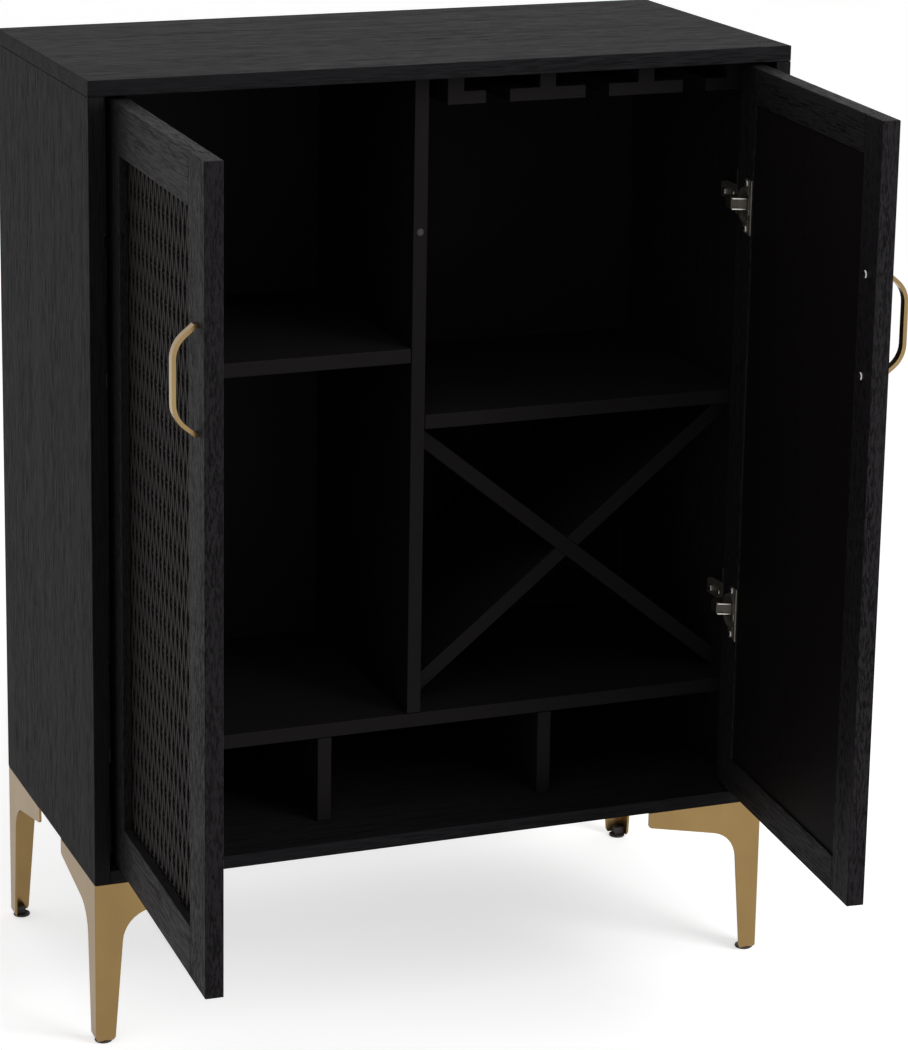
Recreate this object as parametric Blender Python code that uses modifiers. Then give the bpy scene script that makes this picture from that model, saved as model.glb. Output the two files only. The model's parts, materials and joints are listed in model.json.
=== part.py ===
"""Bar cabinet on folded metal legs: two framed cane doors, shelves, a crossed wine rack and stemware rails."""
import math

import bmesh
import bpy
from mathutils import Vector

# Carcass
WIDTH = 0.750
DEPTH = 0.355
CARCASS_HEIGHT = 0.825
LEG_HEIGHT = 0.175
BOARD = 0.016
BOTTOM_BOARD = 0.014
BACK_BOARD = 0.006
SEAT_GAP = 0.0003
EDGE_ROUND = 0.0008
EDGE_SEGMENTS = 2
ARC_STEP_DEGREES = 9.0
STRAIGHT_DEGREES = 1.0
MERGE_DISTANCE = 0.00001
OVERRUN = 0.004

# Shelves and dividers
SHELF_SETBACK = 0.059
LEFT_BAY_WIDTH = 0.3425
LEFT_BAY_HEIGHT = 0.3815
WINE_BAY_HEIGHT = 0.3095
CUBBY_HEIGHT = 0.0925
LEFT_CUBBY_WIDTH = 0.243
MIDDLE_CUBBY_WIDTH = 0.234
WINE_CROSS_SETBACK = 0.036
WINE_CROSS_FITTING_STEPS = 8

# Stemware rails
RAIL_DROP = 0.035
RAIL_FOOT = 0.0135
RAIL_STEM = 0.018
RAIL_SLOT = 0.026
RAIL_SIDE_GAP = 0.01475
RAIL_LENGTH = 0.270
RAIL_LEAD = 0.012
RAIL_ROUND = 0.0005
RAIL_SLOTS = 3
RAIL_FOOT_SIDES = 6

# Doors
DOOR_BOARD = 0.018
DOOR_GAP = 0.0036
DOOR_SETBACK = 0.001
STILE_WIDTH = 0.0525
RAIL_WIDTH = 0.050
RABBET = 0.0125
LIP = 0.009
CANE = 0.002
DOOR_BACK = 0.0045
PANEL_PLAY = 0.0005
LEFT_DOOR_OPEN_DEGREES = 91.8
RIGHT_DOOR_OPEN_DEGREES = 85.2

# Concealed hinges
POLE_INSET = 0.016
POLE_DEPTH = 0.011
UPPER_HINGE_HEIGHT = 0.659
LOWER_HINGE_HEIGHT = 0.217
CUP_INSET = 0.0215
CUP_RADIUS = 0.0175
CUP_DEPTH = 0.012
CUP_WALL = 0.001
CUP_STEPS = 40
RIM_WIDTH = 0.001
RIM_HEIGHT = 0.0012
EAR_HEIGHT = 0.058
EAR_WIDTH = 0.012
EAR_OFFSET = 0.0055
EAR_THICKNESS = 0.001
PIN_RADIUS = 0.0015
KNUCKLE_WALL = 0.0014
ROUND_SIDES = 24
ARM_THICKNESS = 0.003
ARM_HEIGHT = 0.012
ARM_NECK = 0.010
ARM_NECK_RISE = 0.0042
ARM_REACH = 0.0155
ARM_SHOULDER = 0.009
ARM_JOG = 0.0065
ARM_CLEARANCE = 0.0011
ARM_TAIL = 0.050
PLATE_THICKNESS = 0.0054
PLATE_HEIGHT = 0.013
WING_THICKNESS = 0.0025
WING_LENGTH = 0.020
WING_HEIGHT = 0.048

# Handles
HANDLE_SCREW_SPACING = 0.100
HANDLE_STRAIGHT = 0.067
HANDLE_PROJECTION = 0.025
HANDLE_WIDTH = 0.0088
HANDLE_THICKNESS = 0.004
HANDLE_BEND = 0.028
HANDLE_FOOT = 0.003
HANDLE_FOOT_BEND = 0.002
HANDLE_EDGE_INSET = 0.0225
HANDLE_BELOW_TOP = 0.2015
SCREW_RADIUS = 0.0014
SCREW_BITE = 0.002
SCREW_HEAD_RADIUS = 0.004
SCREW_HEAD_HEIGHT = 0.002
SCREW_HEAD_SLOPE_DEGREES = 30.0

# Legs
LEG_ARM = 0.1335
LEG_ARM_END = 0.0165
LEG_ARM_ROOT = 0.0372
LEG_TOP_WIDTH = 0.031
LEG_FOOT_WIDTH = 0.0205
LEG_SHEET = 0.0025
LEG_FILLET = 0.034
LEG_END_ROUND = 0.004
LEG_CHAMFER = 0.0035
LEG_FOLD_RADIUS = 0.003
LEG_FLANGE = 0.060
LEG_FLANGE_END = 0.010
PAD_DROP = 0.003
PAD_HEIGHT = 0.011
PAD_MARGIN = 0.001
PAD_ROUND = 0.001
PAD_PLUG = 0.011

# Places worked out from the sizes above
BASE_Z = LEG_HEIGHT
TOP_Z = BASE_Z + CARCASS_HEIGHT
TOP_UNDERSIDE_Z = TOP_Z - BOARD
FLOOR_BOARD_Z = BASE_Z + BOTTOM_BOARD
FRONT_Y = -DEPTH / 2
REAR_Y = DEPTH / 2
BACK_BOARD_Y = REAR_Y - BACK_BOARD
SHELF_FRONT_Y = FRONT_Y + SHELF_SETBACK
SHELF_REAR_Y = BACK_BOARD_Y - SEAT_GAP
INNER_HALF = WIDTH / 2 - BOARD
LONG_SHELF_Z = FLOOR_BOARD_Z + CUBBY_HEIGHT
BAY_FLOOR_Z = LONG_SHELF_Z + BOARD
DIVIDER_X = -INNER_HALF + LEFT_BAY_WIDTH
RIGHT_BAY_X = DIVIDER_X + BOARD
DOOR_WIDTH = INNER_HALF - 1.5 * DOOR_GAP
DOOR_HEIGHT = TOP_UNDERSIDE_Z - FLOOR_BOARD_Z - 2 * DOOR_GAP
DOOR_BOTTOM_Z = FLOOR_BOARD_Z + DOOR_GAP
POLE_X = INNER_HALF - DOOR_GAP - POLE_INSET
POLE_Y = FRONT_Y + DOOR_SETBACK + POLE_DEPTH
DOOR_FACE_Y = -POLE_DEPTH
DOOR_INNER_Y = DOOR_FACE_Y + DOOR_BOARD
FREE_EDGE = DOOR_WIDTH - POLE_INSET
HANDLE_CENTRE = FREE_EDGE - HANDLE_EDGE_INSET
HANDLE_Z = DOOR_BOTTOM_Z + DOOR_HEIGHT - HANDLE_BELOW_TOP

BLACK_VENEER = (0.016, 0.015, 0.015)
DARK_INTERIOR = (0.010, 0.009, 0.009)
BLACK_CANE = (0.012, 0.011, 0.010)
CHAMPAGNE_GOLD = (0.60, 0.44, 0.23)
NICKEL = (0.62, 0.61, 0.58)
DARK_PLASTIC = (0.020, 0.014, 0.010)


def clear_scene():
    for old in list(bpy.data.objects):
        bpy.data.objects.remove(old, do_unlink=True)


def new_collection(name):
    collection = bpy.data.collections.new(name)
    bpy.context.scene.collection.children.link(collection)
    return collection


def rotated(x, y, degrees):
    turn = math.radians(degrees)
    return (x * math.cos(turn) - y * math.sin(turn), x * math.sin(turn) + y * math.cos(turn))


def door_corners(hand, degrees):
    """Plan points of an open door and its handle that can lie outermost."""
    handle_edge = HANDLE_CENTRE + HANDLE_WIDTH / 2
    reach = DOOR_FACE_Y - HANDLE_PROJECTION
    points = [(FREE_EDGE, DOOR_FACE_Y), (FREE_EDGE, DOOR_INNER_Y), (handle_edge, reach)]
    turned = [rotated(x, y, -degrees) for x, y in points]
    return [(hand * (x - POLE_X), y + POLE_Y) for x, y in turned]


def resting_centre():
    """Plan centre of the box round the cabinet with both doors at rest."""
    points = [(-WIDTH / 2, FRONT_Y), (WIDTH / 2, REAR_Y)]
    points += door_corners(1, LEFT_DOOR_OPEN_DEGREES)
    points += door_corners(-1, RIGHT_DOOR_OPEN_DEGREES)
    xs = [point[0] for point in points]
    ys = [point[1] for point in points]
    return ((min(xs) + max(xs)) / 2, (min(ys) + max(ys)) / 2)


def add_empty(name, location, parent=None, turn_degrees=0.0):
    holder = bpy.data.objects.new(name, None)
    PARTS.objects.link(holder)
    holder.parent = parent
    holder.location = location
    holder.rotation_euler = (0.0, 0.0, math.radians(turn_degrees))
    return holder


def paint(obj, colour, roughness, metallic=0.0):
    material = bpy.data.materials.new(obj.name)
    material.use_nodes = True
    shader = material.node_tree.nodes["Principled BSDF"]
    shader.inputs["Base Color"].default_value = (*colour, 1.0)
    shader.inputs["Roughness"].default_value = roughness
    shader.inputs["Metallic"].default_value = metallic
    obj.data.materials.append(material)


def veneer(obj):
    paint(obj, BLACK_VENEER, 0.45)


def interior(obj):
    paint(obj, DARK_INTERIOR, 0.5)


def gold(obj):
    paint(obj, CHAMPAGNE_GOLD, 0.32, 1.0)


def nickel(obj):
    paint(obj, NICKEL, 0.22, 1.0)


def as_cutter(obj):
    """Moves a shape to the cutters, where it only shapes another piece."""
    PARTS.objects.unlink(obj)
    CUTTERS.objects.link(obj)
    obj.hide_render = True
    obj.display_type = "WIRE"


def shape_by(target, tool, operation):
    boolean = target.modifiers.new(tool.name, "BOOLEAN")
    boolean.operation = operation
    boolean.solver = "EXACT"
    boolean.object = tool
    as_cutter(tool)


def round_edges(obj, width=EDGE_ROUND, segments=EDGE_SEGMENTS):
    bevel = obj.modifiers.new("edge round", "BEVEL")
    bevel.width = width
    bevel.segments = segments
    bevel.limit_method = "ANGLE"


def mesh_object(name, mesh, parent, location, rotation=(0.0, 0.0, 0.0)):
    obj = bpy.data.objects.new(name, mesh)
    PARTS.objects.link(obj)
    obj.parent = parent
    obj.location = location
    obj.rotation_euler = rotation
    return obj


def box(name, low, high, parent):
    """A box between two corners given in its parent's space."""
    low, high = Vector(low), Vector(high)
    shape = bmesh.new()
    bmesh.ops.create_cube(shape, size=1.0)
    bmesh.ops.scale(shape, vec=high - low, verts=shape.verts)
    mesh = bpy.data.meshes.new(name)
    shape.to_mesh(mesh)
    shape.free()
    return mesh_object(name, mesh, parent, (low + high) / 2)


def cylinder(name, radius, length, parent, location, rotation=(0.0, 0.0, 0.0)):
    shape = bmesh.new()
    bmesh.ops.create_cone(shape, cap_ends=True, segments=ROUND_SIDES, radius1=radius, radius2=radius, depth=length)
    mesh = bpy.data.meshes.new(name)
    shape.to_mesh(mesh)
    shape.free()
    return mesh_object(name, mesh, parent, location, rotation)


def filleted(corners):
    """Points of an outline whose corners, given as (x, y, radius), are rounded by arcs."""
    points = []
    for index, (x, y, radius) in enumerate(corners):
        corner = Vector((x, y))
        before = corners[index - 1]
        after = corners[(index + 1) % len(corners)]
        to_before = (Vector(before[:2]) - corner).normalized()
        to_after = (Vector(after[:2]) - corner).normalized()
        if radius == 0:
            points.append(corner)
            continue
        half = to_before.angle(to_after) / 2
        centre = corner + (to_before + to_after).normalized() * (radius / math.sin(half))
        start = corner + to_before * (radius / math.tan(half)) - centre
        sweep = math.pi - 2 * half
        if to_before.cross(to_after) > 0:
            sweep = -sweep
        steps = max(2, round(abs(math.degrees(sweep)) / ARC_STEP_DEGREES))
        for step in range(steps + 1):
            turn = math.degrees(sweep * step / steps)
            points.append(centre + Vector(rotated(start.x, start.y, turn)))
    return points


FACING = {
    "XY": (0.0, 0.0, 0.0),
    "XZ": (math.pi / 2, 0.0, 0.0),
    "YZ": (math.pi / 2, 0.0, math.pi / 2),
}


def outline_solid(name, points, thickness, parent, location, plane="XY"):
    """A flat outline drawn in one plane and thickened evenly to both sides of it."""
    curve = bpy.data.curves.new(name, "CURVE")
    curve.dimensions = "2D"
    curve.fill_mode = "BOTH"
    curve.extrude = thickness / 2
    spline = curve.splines.new("POLY")
    spline.points.add(len(points) - 1)
    for knot, point in zip(spline.points, points):
        knot.co = (point[0], point[1], 0.0, 1.0)
    spline.use_cyclic_u = True
    drawn = mesh_object(name, curve, parent, location, FACING[plane])
    flat = bpy.data.meshes.new_from_object(drawn.evaluated_get(bpy.context.evaluated_depsgraph_get()))
    bpy.data.objects.remove(drawn, do_unlink=True)
    bpy.data.curves.remove(curve)
    shape = bmesh.new()
    shape.from_mesh(flat)
    bmesh.ops.remove_doubles(shape, verts=shape.verts, dist=MERGE_DISTANCE)
    straight = math.radians(STRAIGHT_DEGREES)
    bmesh.ops.dissolve_limit(shape, angle_limit=straight, verts=shape.verts, edges=shape.edges)
    bmesh.ops.recalc_face_normals(shape, faces=shape.faces)
    shape.to_mesh(flat)
    shape.free()
    flat.name = name
    return mesh_object(name, flat, parent, location, FACING[plane])


def strip_solid(name, path, width, thickness, parent, location, plane):
    """A band of even thickness bent along an open path, its width square to the plane of the path."""
    shape = bmesh.new()
    knots = [shape.verts.new((x, y, -width / 2)) for x, y in path]
    run = [shape.edges.new(pair) for pair in zip(knots, knots[1:])]
    grown = bmesh.ops.extrude_edge_only(shape, edges=run)
    moved = [item for item in grown["geom"] if isinstance(item, bmesh.types.BMVert)]
    bmesh.ops.translate(shape, verts=moved, vec=(0.0, 0.0, width))
    mesh = bpy.data.meshes.new(name)
    shape.to_mesh(mesh)
    shape.free()
    band = mesh_object(name, mesh, parent, location, FACING[plane])
    wall = band.modifiers.new("wall", "SOLIDIFY")
    wall.thickness = thickness
    wall.offset = 0.0
    wall.use_even_offset = True
    return band


def open_path(corners):
    """A path like an outline's, but open: its first and last points stay sharp."""
    return [(point.x, point.y) for point in filleted(corners)]


def turned_solid(name, profile, steps, parent, location, rotation):
    """A profile of (radius, height) points, top to bottom, turned about its own Z axis."""
    shape = bmesh.new()
    knots = [shape.verts.new((radius, 0.0, height)) for radius, height in profile]
    for pair in zip(knots, knots[1:]):
        shape.edges.new(pair)
    mesh = bpy.data.meshes.new(name)
    shape.to_mesh(mesh)
    shape.free()
    obj = mesh_object(name, mesh, parent, location, rotation)
    turn = obj.modifiers.new("turn", "SCREW")
    turn.steps = steps
    turn.render_steps = steps
    turn.use_merge_vertices = True
    turn.merge_threshold = MERGE_DISTANCE
    return obj


def build_carcass(base):
    side_top_z = TOP_UNDERSIDE_Z - SEAT_GAP
    between = INNER_HALF - SEAT_GAP
    top = box("top_board", (-WIDTH / 2, FRONT_Y, TOP_UNDERSIDE_Z), (WIDTH / 2, REAR_Y, TOP_Z), base)
    left = box("left_side", (-WIDTH / 2, FRONT_Y, BASE_Z), (-INNER_HALF, REAR_Y, side_top_z), base)
    right = box("right_side", (INNER_HALF, FRONT_Y, BASE_Z), (WIDTH / 2, REAR_Y, side_top_z), base)
    bottom = box("bottom_board", (-between, FRONT_Y, BASE_Z), (between, SHELF_REAR_Y, FLOOR_BOARD_Z), base)
    back = box("back_board", (-between, BACK_BOARD_Y, BASE_Z), (between, REAR_Y, side_top_z), base)
    for board in (top, left, right, bottom):
        round_edges(board)
        veneer(board)
    interior(back)


def inner_board(name, low_x, high_x, low_z, high_z, base):
    """A board between the shelf front line and the back board, 0.3 mm clear of what it meets."""
    low = (low_x + SEAT_GAP, SHELF_FRONT_Y, low_z + SEAT_GAP)
    high = (high_x - SEAT_GAP, SHELF_REAR_Y, high_z - SEAT_GAP)
    board = box(name, low, high, base)
    round_edges(board)
    interior(board)


def build_shelves(base):
    left_shelf_z = BAY_FLOOR_Z + LEFT_BAY_HEIGHT
    right_shelf_z = BAY_FLOOR_Z + WINE_BAY_HEIGHT
    left_cubby_x = -INNER_HALF + LEFT_CUBBY_WIDTH
    right_cubby_x = left_cubby_x + BOARD + MIDDLE_CUBBY_WIDTH
    inner_board("long_shelf", -INNER_HALF, INNER_HALF, LONG_SHELF_Z, BAY_FLOOR_Z, base)
    inner_board("divider", DIVIDER_X, RIGHT_BAY_X, BAY_FLOOR_Z, TOP_UNDERSIDE_Z, base)
    inner_board("left_shelf", -INNER_HALF, DIVIDER_X, left_shelf_z, left_shelf_z + BOARD, base)
    inner_board("right_shelf", RIGHT_BAY_X, INNER_HALF, right_shelf_z, right_shelf_z + BOARD, base)
    inner_board("left_cubby_divider", left_cubby_x, left_cubby_x + BOARD, FLOOR_BOARD_Z, LONG_SHELF_Z, base)
    inner_board("right_cubby_divider", right_cubby_x, right_cubby_x + BOARD, FLOOR_BOARD_Z, LONG_SHELF_Z, base)


def build_wine_cross(base):
    """Two boards from corner to corner of the bay, each notched through half its depth at the crossing."""
    low_x, high_x = RIGHT_BAY_X + SEAT_GAP, INNER_HALF - SEAT_GAP
    low_z, high_z = BAY_FLOOR_Z + SEAT_GAP, BAY_FLOOR_Z + WINE_BAY_HEIGHT - SEAT_GAP
    span, rise = high_x - low_x, high_z - low_z
    edge = BOARD
    for _ in range(WINE_CROSS_FITTING_STEPS):
        edge = BOARD * math.hypot(span, rise - edge) / span
    slope = math.atan2(rise - edge, span)
    front_y = SHELF_FRONT_Y + WINE_CROSS_SETBACK
    length = SHELF_REAR_Y - front_y
    middle_y = front_y + length / 2
    centre = ((low_x + high_x) / 2, middle_y, (low_z + high_z) / 2)
    for name, lean, notch_side in (("wine_cross_falling", 1, 1), ("wine_cross_rising", -1, -1)):
        ends = [(-span / 2, rise / 2), (-span / 2, rise / 2 - edge), (span / 2, -rise / 2), (span / 2, edge - rise / 2)]
        outline = [(lean * x, z) for x, z in ends]
        board = outline_solid(name, outline, length, base, centre, "XZ")
        round_edges(board)
        lap = (2 * BOARD, length / 4 + OVERRUN / 2, BOARD / 2 + SEAT_GAP)
        notch = box(name + "_notch", [-size for size in lap], lap, base)
        reach = notch_side * (length / 4 + OVERRUN / 2 - SEAT_GAP / 2)
        notch.location = (centre[0], middle_y + reach, centre[2])
        notch.rotation_euler = (0.0, -lean * slope, 0.0)
        shape_by(board, notch, "DIFFERENCE")
        interior(board)


def build_stemware_rails(base):
    """Two end rails with a foot to one side and two between them with a foot to both sides."""
    foot_z = -RAIL_DROP
    shelf_z = foot_z + RAIL_FOOT
    half = RAIL_STEM / 2
    feet = INNER_HALF - RIGHT_BAY_X - 2 * RAIL_SIDE_GAP - RAIL_SLOTS * RAIL_SLOT
    one_side = feet / RAIL_FOOT_SIDES
    past_stem = one_side - half
    left_stem = RIGHT_BAY_X + RAIL_SIDE_GAP + half
    right_stem = INNER_HALF - RAIL_SIDE_GAP - half
    from_end = past_stem + RAIL_SLOT + one_side
    rails = (
        ("stemware_rail_left", left_stem, half, past_stem),
        ("stemware_rail_middle_left", left_stem + from_end, one_side, one_side),
        ("stemware_rail_middle_right", right_stem - from_end, one_side, one_side),
        ("stemware_rail_right", right_stem, past_stem, half),
    )
    middle_y = SHELF_FRONT_Y - RAIL_LEAD + RAIL_LENGTH / 2
    for name, stem_x, left_foot, right_foot in rails:
        outline = [(-half, 0.0), (-half, shelf_z), (-left_foot, shelf_z), (-left_foot, foot_z),
                   (right_foot, foot_z), (right_foot, shelf_z), (half, shelf_z), (half, 0.0)]
        place = (stem_x, middle_y, TOP_UNDERSIDE_Z - SEAT_GAP)
        rail = outline_solid(name, drop_straight_points(outline), RAIL_LENGTH, base, place, "XZ")
        round_edges(rail, RAIL_ROUND, 1)
        interior(rail)


def drop_straight_points(points):
    """The outline without repeated points and points on the straight line between their neighbours."""
    points = [point for index, point in enumerate(points) if point != points[index - 1]]
    kept = []
    for index, (x, y) in enumerate(points):
        before = points[index - 1]
        after = points[(index + 1) % len(points)]
        into = Vector((x - before[0], y - before[1]))
        out = Vector((after[0] - x, after[1] - y))
        if into.cross(out) != 0:
            kept.append((x, y))
    return kept


def door_x(hand, from_edge):
    """Place across the door, measured from its hinge edge, in the space of its hinge axis."""
    return hand * (from_edge - POLE_INSET)


def door_box(name, hand, across, deep, tall, pole):
    """A box in a closed door's space: across from the hinge edge, deep from the front face, tall from the floor."""
    xs = sorted(door_x(hand, value) for value in across)
    low = (xs[0], DOOR_FACE_Y + deep[0], tall[0])
    high = (xs[1], DOOR_FACE_Y + deep[1], tall[1])
    return box(name, low, high, pole)


def build_stile(name, hand, edge, inward, pole):
    """An upright with a rabbet along its inner edge, behind a lip."""
    solid = STILE_WIDTH - RABBET
    corners = [(0.0, 0.0), (STILE_WIDTH, 0.0), (STILE_WIDTH, LIP), (solid, LIP), (solid, DOOR_BOARD), (0.0, DOOR_BOARD)]
    outline = [(hand * inward * across, deep) for across, deep in corners]
    place = (door_x(hand, edge), DOOR_FACE_Y, DOOR_BOTTOM_Z + DOOR_HEIGHT / 2)
    stile = outline_solid(name, outline, DOOR_HEIGHT, pole, place)
    round_edges(stile)
    veneer(stile)
    return stile


def build_door_rail(name, hand, outer_z, inward, pole):
    """A crosspiece whose rear half runs on behind the stiles' lips."""
    inner_z = outer_z + inward * RAIL_WIDTH
    rear_start = STILE_WIDTH - RABBET + SEAT_GAP
    lip_start = STILE_WIDTH + SEAT_GAP
    across = (rear_start, DOOR_WIDTH - rear_start)
    rail = door_box(name, hand, across, (0.0, DOOR_BOARD), sorted((outer_z, inner_z)), pole)
    round_edges(rail)
    rabbet_z = sorted((inner_z - inward * RABBET, inner_z + inward * OVERRUN))
    wide = (-OVERRUN, DOOR_WIDTH + OVERRUN)
    rabbet = door_box(name + "_rabbet", hand, wide, (LIP, DOOR_BOARD + OVERRUN), rabbet_z, pole)
    shape_by(rail, rabbet, "DIFFERENCE")
    tall = sorted((outer_z - inward * OVERRUN, inner_z + inward * OVERRUN))
    ends = (("_hinge_end", (0.0, lip_start)), ("_free_end", (DOOR_WIDTH - lip_start, DOOR_WIDTH)))
    for suffix, reach in ends:
        shoulder = door_box(name + suffix, hand, reach, (-OVERRUN, LIP + SEAT_GAP), tall, pole)
        shape_by(rail, shoulder, "DIFFERENCE")
    veneer(rail)


def build_door_panels(door, hand, pole):
    margin = RABBET - PANEL_PLAY
    across = (STILE_WIDTH - margin, DOOR_WIDTH - STILE_WIDTH + margin)
    tall = (DOOR_BOTTOM_Z + RAIL_WIDTH - margin, DOOR_BOTTOM_Z + DOOR_HEIGHT - RAIL_WIDTH + margin)
    cane_face = LIP + SEAT_GAP
    back_face = cane_face + CANE + SEAT_GAP
    cane = door_box(door + "_cane_panel", hand, across, (cane_face, cane_face + CANE), tall, pole)
    paint(cane, BLACK_CANE, 0.4)
    back = door_box(door + "_back_panel", hand, across, (back_face, back_face + DOOR_BACK), tall, pole)
    interior(back)


def build_hinge_cup(name, hand, z, pole):
    """A turned cup with a rim and two ears, let into the inner face of the door."""
    radius = CUP_RADIUS
    bore = CUP_RADIUS - CUP_WALL
    rim = CUP_RADIUS + RIM_WIDTH
    lip = SEAT_GAP + RIM_HEIGHT
    floor = CUP_WALL - CUP_DEPTH
    profile = [(0.0, floor), (bore, floor), (bore, lip), (rim, lip), (rim, SEAT_GAP), (radius, SEAT_GAP),
               (radius, -CUP_DEPTH), (0.0, -CUP_DEPTH)]
    place = (door_x(hand, CUP_INSET), DOOR_INNER_Y, z)
    facing_in = (-math.pi / 2, 0.0, 0.0)
    cup = turned_solid(name, profile, CUP_STEPS, pole, place, facing_in)
    ear_x = door_x(hand, CUP_INSET + EAR_OFFSET)
    corner = EAR_WIDTH / 2 - SEAT_GAP
    half, tall = EAR_WIDTH / 2, EAR_HEIGHT / 2
    outline = filleted([(half, tall, corner), (-half, tall, corner), (-half, -tall, corner), (half, -tall, corner)])
    ear_y = DOOR_INNER_Y + SEAT_GAP + EAR_THICKNESS / 2 + (RIM_HEIGHT - EAR_THICKNESS) / 2
    ears = outline_solid(name + "_ears", outline, EAR_THICKNESS, pole, (ear_x, ear_y, z), "XZ")
    shape_by(cup, ears, "UNION")
    mouth_length = CUP_DEPTH / 2
    mouth = cylinder(name + "_mouth", bore - SEAT_GAP / 2, mouth_length, pole, place, facing_in)
    shape_by(cup, mouth, "DIFFERENCE")
    nickel(cup)


def build_hinge_pin(name, z, pole):
    offset = abs(POLE_INSET - CUP_INSET) + PIN_RADIUS
    bore = CUP_RADIUS - CUP_WALL
    half = math.sqrt(bore ** 2 - offset ** 2) - 2 * SEAT_GAP
    pin = cylinder(name, PIN_RADIUS, 2 * half, pole, (0.0, 0.0, z))
    nickel(pin)


def build_hinge_arm(name, hand, z, base):
    """A cranked band from the pin, round the door's edge, to its seat on the mounting plate."""
    corner_swing = math.hypot(POLE_INSET, max(POLE_DEPTH, DOOR_INNER_Y))
    crossing_y = corner_swing + ARM_CLEARANCE + ARM_THICKNESS / 2
    wall_x = -(POLE_INSET + DOOR_GAP)
    tail_x = wall_x + 2 * SEAT_GAP + PLATE_THICKNESS + ARM_THICKNESS / 2
    tail_y = crossing_y + ARM_JOG
    corners = [(0.0, 0.0, 0), (ARM_NECK, ARM_NECK_RISE, 0), (ARM_REACH, ARM_SHOULDER, 0),
               (ARM_REACH, crossing_y, ARM_THICKNESS), (tail_x + ARM_JOG, crossing_y, ARM_THICKNESS),
               (tail_x, tail_y, ARM_THICKNESS), (tail_x, tail_y + ARM_TAIL, 0)]
    path = [(hand * x, y) for x, y in open_path(corners)]
    place = (-hand * POLE_X, POLE_Y, z)
    arm = strip_solid(name, path, ARM_HEIGHT, ARM_THICKNESS, base, place, "XY")
    knuckle_radius = PIN_RADIUS + SEAT_GAP + KNUCKLE_WALL
    knuckle = cylinder(name + "_knuckle", knuckle_radius, ARM_HEIGHT + SEAT_GAP, base, place)
    shape_by(arm, knuckle, "UNION")
    bore = cylinder(name + "_bore", PIN_RADIUS + SEAT_GAP, ARM_HEIGHT + OVERRUN, base, place)
    shape_by(arm, bore, "DIFFERENCE")
    nickel(arm)
    seat_y = (tail_y + ARM_THICKNESS / 2, tail_y + ARM_TAIL - SEAT_GAP)
    build_mounting_plate(name.replace("_arm", "_plate"), hand, z, wall_x + SEAT_GAP, seat_y, base)


def build_mounting_plate(name, hand, z, wall_x, seat_y, base):
    """A block with two wings, screwed to the side, that carries the arm."""
    middle_y = sum(seat_y) / 2
    wing_y = (middle_y - WING_LENGTH / 2, middle_y + WING_LENGTH / 2)
    sizes = (
        (name, PLATE_THICKNESS, seat_y, PLATE_HEIGHT),
        (name + "_wings", WING_THICKNESS, wing_y, WING_HEIGHT),
    )
    pieces = []
    for piece, thickness, along, tall in sizes:
        xs = sorted(hand * (value - POLE_X) for value in (wall_x, wall_x + thickness))
        low = (xs[0], POLE_Y + along[0], z - tall / 2)
        high = (xs[1], POLE_Y + along[1], z + tall / 2)
        pieces.append(box(piece, low, high, base))
    shape_by(pieces[0], pieces[1], "UNION")
    nickel(pieces[0])


def build_handle(door, hand, pole):
    """A flat bar bent outwards from two feet, held by two screws through the stile."""
    spacing = HANDLE_SCREW_SPACING / 2
    straight = HANDLE_STRAIGHT / 2
    top = HANDLE_PROJECTION - HANDLE_THICKNESS / 2
    path = [(-SEAT_GAP, -spacing, 0), (-HANDLE_FOOT, -spacing, HANDLE_FOOT_BEND), (-top, -straight, HANDLE_BEND),
            (-top, straight, HANDLE_BEND), (-HANDLE_FOOT, spacing, HANDLE_FOOT_BEND), (-SEAT_GAP, spacing, 0)]
    place = (hand * HANDLE_CENTRE, DOOR_FACE_Y, HANDLE_Z)
    handle = strip_solid(door + "_handle", open_path(path), HANDLE_WIDTH, HANDLE_THICKNESS, pole, place, "YZ")
    gold(handle)
    for level, side in (("upper", 1), ("lower", -1)):
        z = HANDLE_Z + side * spacing
        build_handle_screw(f"{door}_handle_screw_{level}", hand, z, handle, pole)


def build_handle_screw(name, hand, z, handle, pole):
    """A pan-head screw from the inner face, ending inside the handle's foot."""
    head = SEAT_GAP + SCREW_HEAD_HEIGHT
    tip = -DOOR_BOARD - SCREW_BITE
    shoulder = SCREW_HEAD_RADIUS * math.cos(math.radians(SCREW_HEAD_SLOPE_DEGREES))
    profile = [(0.0, head), (shoulder, head), (SCREW_HEAD_RADIUS, SEAT_GAP + SCREW_HEAD_HEIGHT / 2),
               (SCREW_HEAD_RADIUS, SEAT_GAP), (SCREW_RADIUS, SEAT_GAP), (SCREW_RADIUS, tip), (0.0, tip)]
    place = (hand * HANDLE_CENTRE, DOOR_INNER_Y, z)
    facing_in = (-math.pi / 2, 0.0, 0.0)
    screw = turned_solid(name, profile, ROUND_SIDES, pole, place, facing_in)
    nickel(screw)
    hole_radius = SCREW_RADIUS + SEAT_GAP
    stile_middle = (hand * HANDLE_CENTRE, (DOOR_FACE_Y + DOOR_INNER_Y) / 2, z)
    through = cylinder(name + "_clearance", hole_radius, DOOR_BOARD + 2 * OVERRUN, pole, stile_middle, facing_in)
    stile = bpy.data.objects[name.split("_handle")[0] + "_free_stile"]
    shape_by(stile, through, "DIFFERENCE")
    thread = cylinder(name + "_thread", hole_radius, 2 * (SCREW_BITE + SEAT_GAP), pole,
                      (hand * HANDLE_CENTRE, DOOR_FACE_Y, z), facing_in)
    shape_by(handle, thread, "DIFFERENCE")


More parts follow.
